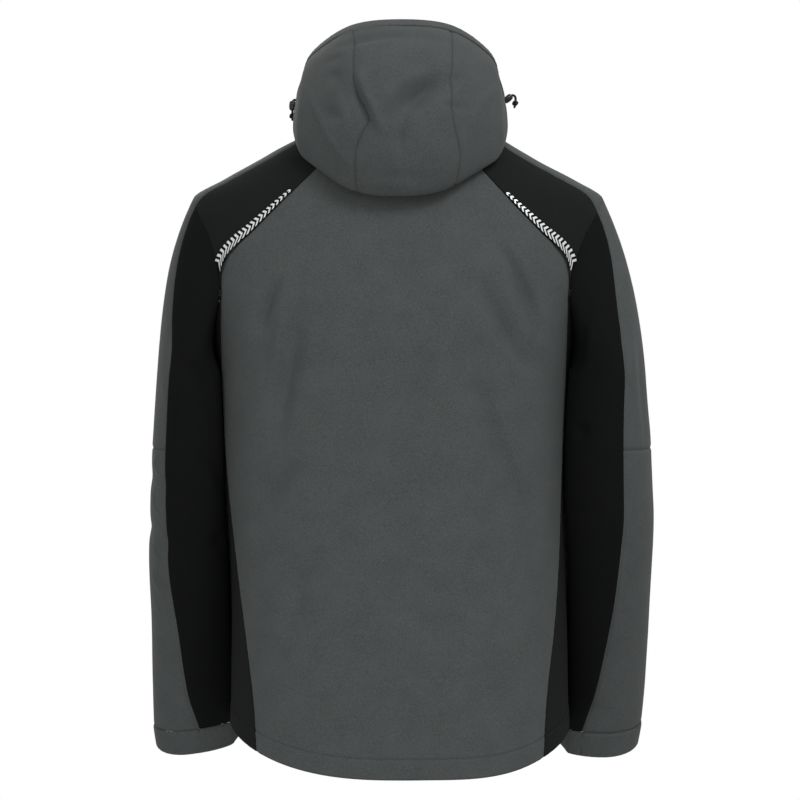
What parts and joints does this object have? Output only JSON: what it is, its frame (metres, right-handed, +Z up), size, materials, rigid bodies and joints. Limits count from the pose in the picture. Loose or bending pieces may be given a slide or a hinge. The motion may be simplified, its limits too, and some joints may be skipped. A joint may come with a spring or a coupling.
{
  "type": "softshell jacket",
  "caption": "Hooded softshell work jacket, filled out as if worn: full front zip, stand collar, dropped back hem, dark side and shoulder panels, reflective chevron strips and cuff bands",
  "frame": {"origin": "Middle of the neck opening, at the height of the points where the shoulder seams meet the neck edge.", "axes": "+X towards the wearer's left, +Y out of the wearer's back, +Z up. The zip faces -Y."},
  "size_m": [0.6057, 0.292, 0.8793],
  "materials": {
    "grey_softshell": "matt",
    "black_softshell": "matt",
    "zip_tape": "matt",
    "reflective": "satin",
    "cord": "matt",
    "plastic": "satin"
  },
  "bodies": {
    "jacket": {"back_panel": "grey_softshell", "front_left": "grey_softshell", "front_right": "grey_softshell", "sleeve_upper_left": "grey_softshell", "sleeve_upper_right": "grey_softshell", "sleeve_lower_left": "grey_softshell", "sleeve_lower_right": "grey_softshell", "cuff_left": "grey_softshell", "cuff_right": "grey_softshell", "collar": "grey_softshell", "hood_centre": "grey_softshell", "hood_side_left": "grey_softshell", "hood_side_right": "grey_softshell", "hood_edge": "grey_softshell", "side_panel_left": "black_softshell", "side_panel_right": "black_softshell", "yoke_left": "black_softshell", "yoke_right": "black_softshell", "sleeve_back_left": "black_softshell", "sleeve_back_right": "black_softshell", "zip_tape": "zip_tape", "reflective_tape_left": "reflective", "reflective_tape_right": "reflective", "cord_left": "cord", "cord_right": "cord", "knot_left": "cord", "knot_right": "cord", "stopper_left": "plastic", "stopper_right": "plastic", "eyelet_left": "plastic", "eyelet_right": "plastic", "zip_teeth": "plastic", "zip_slider": "plastic"},
    "zip_pull": {"zip_pull": "plastic"}
  },
  "joints": [
    {"name": "pull_swing", "type": "hinge", "parent": "jacket", "child": "zip_pull", "pos_m": [0, -0.08785, 0.00361], "axis": [-1, 0, 0], "range_deg": [0, 160]}
  ]
}
